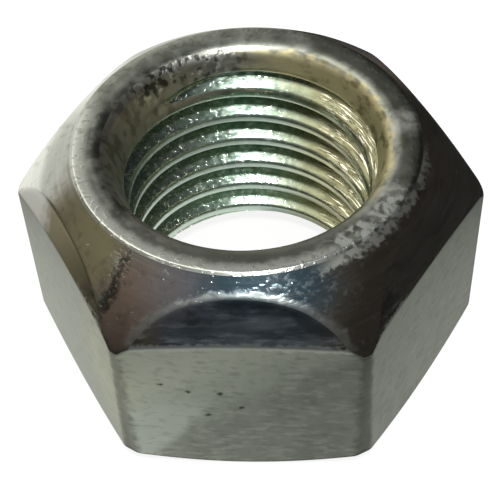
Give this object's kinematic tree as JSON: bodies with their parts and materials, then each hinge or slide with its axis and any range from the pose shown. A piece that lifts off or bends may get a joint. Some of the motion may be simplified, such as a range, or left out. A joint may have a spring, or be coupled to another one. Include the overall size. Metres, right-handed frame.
{
  "type": "hex nut",
  "caption": "Plain hexagon nut, forged in one piece, with a rounded conical crown above slanted facets and a right-hand threaded through hole.",
  "frame": {"origin": "centre of the flat seat face that the nut stands on", "axes": "+Z along the thread, from the seat to the crown; X through two opposite corners; Y through two opposite flats"},
  "size_m": [0.0336, 0.0294, 0.018],
  "materials": {
    "zinc_plated_steel": "zinc-plated forged steel, worn bright, with a turned crown and a tapped thread"
  },
  "bodies": {
    "root": {"hex_nut": "zinc_plated_steel"}
  },
  "joints": []
}
